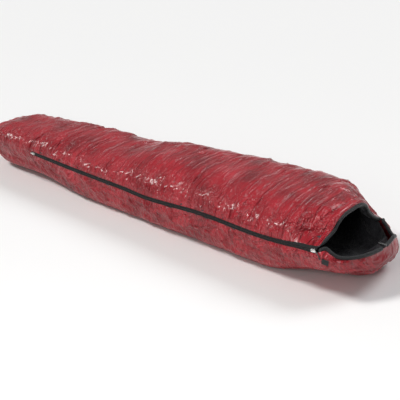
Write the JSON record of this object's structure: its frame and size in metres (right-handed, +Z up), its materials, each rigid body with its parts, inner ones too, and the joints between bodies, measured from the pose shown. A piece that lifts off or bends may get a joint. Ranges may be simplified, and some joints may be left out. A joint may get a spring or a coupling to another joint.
{
  "type": "mummy sleeping bag",
  "caption": "Down mummy sleeping bag lying closed on its back, with a side zip, an arched face opening and a bowl-shaped hood.",
  "frame": {"origin": "middle of the footprint's bounding box, on the ground", "axes": "+X from the foot end to the head end, +Z up from the ground, the zip on the -Y side"},
  "size_m": [2.16, 0.6253, 0.295],
  "materials": {
    "shell": "glossy crinkled down-proof nylon",
    "lining": "matt black nylon",
    "down": "down clusters",
    "mesh": "fine net",
    "binding": "smooth satin tape",
    "zip_tape": "twill tape",
    "zip_coil": "nylon coil",
    "slider_metal": "bright nickel",
    "grip": "moulded strap",
    "webbing": "woven webbing",
    "cord": "braided elastic",
    "lock_plastic": "moulded acetal",
    "spring_steel": "spring wire"
  },
  "bodies": {
    "lower_quilt": {"cord_lock_barrel": "lock_plastic", "cord_lock_spring": "spring_steel", "foot_baffle": "mesh", "foot_end_chamber": "down", "foot_lining": "lining", "foot_lower_chamber_01": "down", "foot_lower_chamber_02": "down", "foot_shell": "shell", "foot_upper_chamber_01": "down", "foot_upper_chamber_02": "down", "ground_panel": "shell", "hood_chamber": "down", "hood_drawcord": "cord", "hood_end_chamber": "down", "hood_lining": "lining", "hood_rim_binding": "binding", "hood_shell": "shell", "lower_baffles": "mesh", "lower_chamber_01": "down", "lower_chamber_02": "down", "lower_chamber_03": "down", "lower_chamber_04": "down", "lower_chamber_05": "down", "lower_chamber_06": "down", "lower_chamber_07": "down", "lower_chamber_08": "down", "lower_chamber_09": "down", "lower_chamber_10": "down", "lower_coil": "zip_coil", "lower_lining": "lining", "lower_shell_sides": "shell", "lower_tape": "zip_tape", "zip_foot_stop": "slider_metal"},
    "lid": {"upper_shell": "shell", "upper_lining": "lining", "upper_chamber_01": "down", "upper_chamber_02": "down", "upper_chamber_03": "down", "upper_chamber_04": "down", "upper_chamber_05": "down", "upper_chamber_06": "down", "upper_chamber_07": "down", "upper_chamber_08": "down", "upper_chamber_09": "down", "upper_chamber_10": "down", "upper_baffles": "mesh", "arch_binding": "binding", "upper_tape": "zip_tape", "upper_coil": "zip_coil", "draft_tube": "lining"},
    "upper_slider": {"upper_slider": "slider_metal"},
    "upper_pull": {"upper_pull": "slider_metal", "upper_pull_grip": "grip"},
    "lower_slider": {"lower_slider": "slider_metal"},
    "lower_pull": {"lower_pull": "slider_metal"},
    "cord_lock_plunger": {"cord_lock_plunger": "lock_plastic"},
    "closure_tab": {"closure_tab": "webbing"}
  },
  "joints": [
    {"name": "lid_fold", "type": "hinge", "parent": "lower_quilt", "child": "lid", "pos_m": [-0.68, 0.1895, 0.16], "axis": [-0.997, -0.0752, -0.0188], "range_deg": [0, 100], "deforming": ["upper_tape", "upper_coil", "lower_tape", "lower_coil"]},
    {"name": "upper_slider_travel", "type": "hinge", "parent": "lower_quilt", "child": "upper_slider", "pos_m": [-0.21614, -0.22301, 17.82538], "axis": [-0.0753, -0.9972, 0], "range_deg": [-4.24, 0]},
    {"name": "upper_pull_flip", "type": "hinge", "parent": "upper_slider", "child": "upper_pull", "pos_m": [0.89585, -0.31285, 0.18912], "axis": [-0.063, 0.0048, 0.998], "range_deg": [-165, 0]},
    {"name": "lower_slider_travel", "type": "hinge", "parent": "lower_quilt", "child": "lower_slider", "pos_m": [-0.21614, -0.22301, 17.82538], "axis": [-0.0753, -0.9972, 0], "range_deg": [0, 0.7133]},
    {"name": "lower_pull_flip", "type": "hinge", "parent": "lower_slider", "child": "lower_pull", "pos_m": [-0.66544, -0.19502, 0.15961], "axis": [0.0253, -0.0019, 0.9997], "range_deg": [0, 165]},
    {"name": "cord_lock_press", "type": "slide", "parent": "lower_quilt", "child": "cord_lock_plunger", "axis": [1, 0, 0], "range_m": [0, 0.003], "stiffness_N_per_m": 800, "springref_m": -0.002},
    {"name": "closure_tab_flip", "type": "hinge", "parent": "lower_quilt", "child": "closure_tab", "pos_m": [0.96676, -0.31334, 0.16], "axis": [0, 0, 1], "range_deg": [0, 170]}
  ],
  "couplings": [
    {"joint": "upper_slider_travel", "follows": "lid_fold", "ratio": -0.042149}
  ]
}
